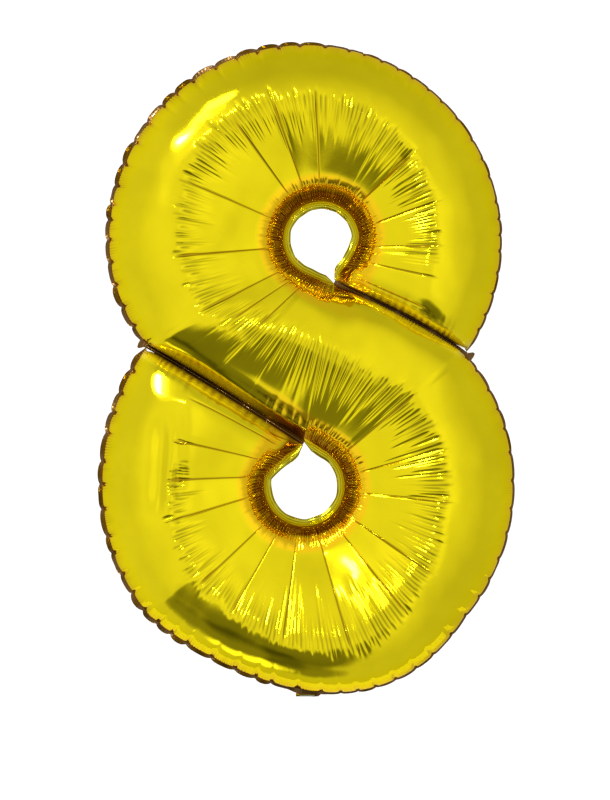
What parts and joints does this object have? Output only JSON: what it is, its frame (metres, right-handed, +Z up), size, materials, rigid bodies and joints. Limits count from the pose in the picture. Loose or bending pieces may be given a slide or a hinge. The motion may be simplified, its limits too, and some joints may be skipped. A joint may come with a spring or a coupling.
{
  "type": "foil number balloon",
  "caption": "Inflated gold foil balloon shaped like the digit eight, with sealed rims, open holes, slits beside the stroke and a fold-back filling neck with a self-sealing valve.",
  "frame": {"origin": "the root of the filling neck, in the weld plane just below the lowest point of the rim, where a ribbon ties", "axes": "+Z up the figure, -Y out of its readable front face, +X to the reader's right"},
  "size_m": [0.5536, 0.1442, 0.8617],
  "materials": {
    "gold_film": "metallised lemon-gold film, mirror bright",
    "weld": "heat-sealed gold film, puckered, amber where light passes through",
    "valve_film": "clear soft polyethylene film"
  },
  "bodies": {
    "balloon": {"front_film": "gold_film", "rear_film": "gold_film", "upper_rim_weld": "weld", "lower_rim_weld": "weld", "upper_hole_weld": "weld", "lower_hole_weld": "weld", "right_slit_weld": "weld", "left_slit_weld": "weld"},
    "neck": {"neck_front_ply": "gold_film", "neck_rear_ply": "gold_film", "neck_left_seal": "weld", "neck_right_seal": "weld", "valve_inlet_front_ply": "valve_film", "valve_inlet_rear_ply": "valve_film"},
    "valve_front": {"valve_front_flap": "valve_film"},
    "valve_rear": {"valve_rear_flap": "valve_film"}
  },
  "joints": [
    {"name": "neck_fold", "type": "hinge", "parent": "balloon", "child": "neck", "pos_m": [0, 0, 0], "axis": [1, 0, 0], "range_deg": [-200, 0]},
    {"name": "valve_front_open", "type": "hinge", "parent": "balloon", "child": "valve_front", "pos_m": [0, 0, 0.013], "axis": [1, 0, 0], "range_deg": [0, 5], "stiffness_Nm_per_rad": 0.0002},
    {"name": "valve_rear_open", "type": "hinge", "parent": "balloon", "child": "valve_rear", "pos_m": [0, 0, 0.013], "axis": [-1, 0, 0], "range_deg": [0, 5], "stiffness_Nm_per_rad": 0.0002}
  ],
  "couplings": [
    {"joint": "valve_rear_open", "follows": "valve_front_open", "ratio": 1}
  ]
}
